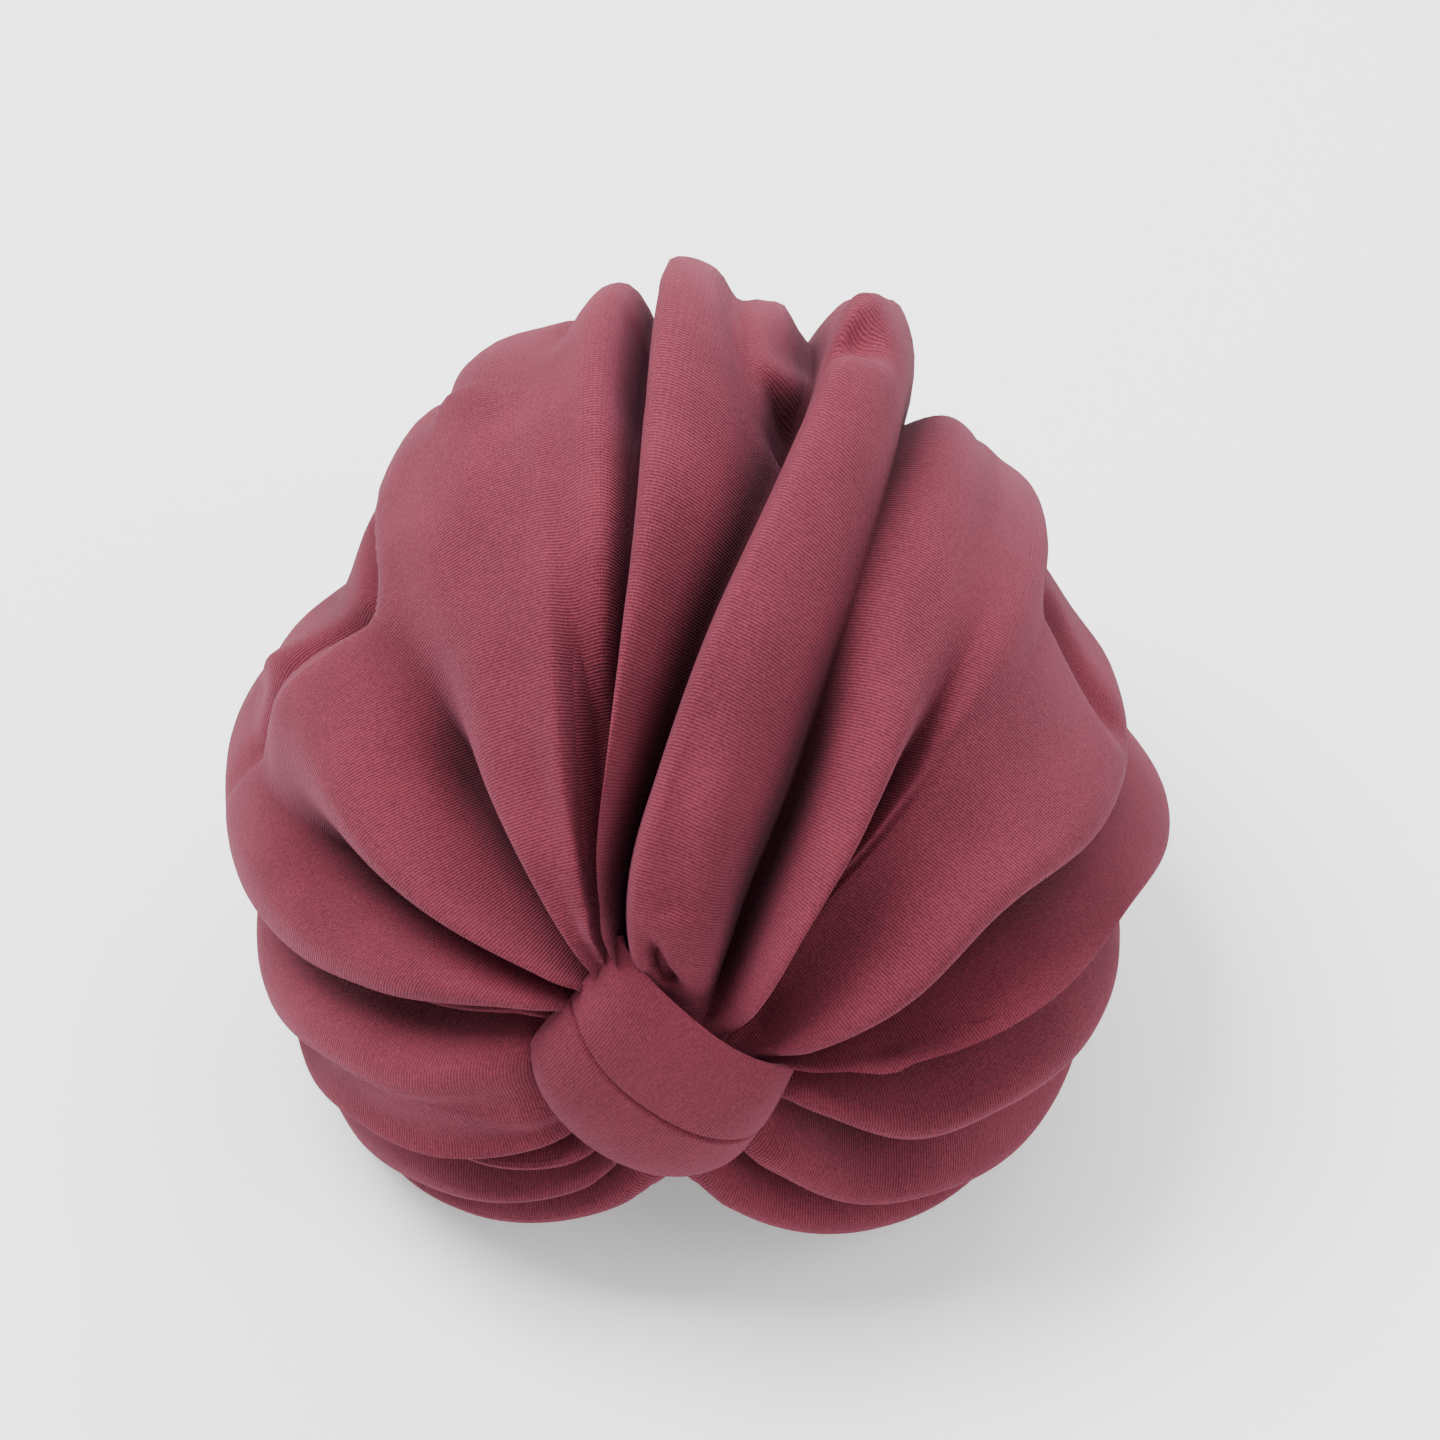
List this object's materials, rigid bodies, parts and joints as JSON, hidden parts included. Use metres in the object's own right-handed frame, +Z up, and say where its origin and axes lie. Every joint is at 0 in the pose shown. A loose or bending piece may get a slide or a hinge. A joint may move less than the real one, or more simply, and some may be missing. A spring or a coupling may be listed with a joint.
{
  "type": "turban headwrap",
  "caption": "Pleated jersey headwrap: a hollow crown of soft folds that fan out from a smooth slanted band at the front.",
  "frame": {"origin": "the middle of the head opening, in the plane of the rim, where a head enters", "axes": "+Z up, the front with the band faces -Y, +X is on the right seen from the front"},
  "size_m": [0.2351, 0.2367, 0.1992],
  "materials": {
    "crown_jersey": "matt fine jersey knit, maroon",
    "band_jersey": "matt fine jersey knit, maroon, laid smooth"
  },
  "bodies": {
    "root": {"crown_cloth": "crown_jersey", "front_band": "band_jersey"}
  },
  "joints": []
}
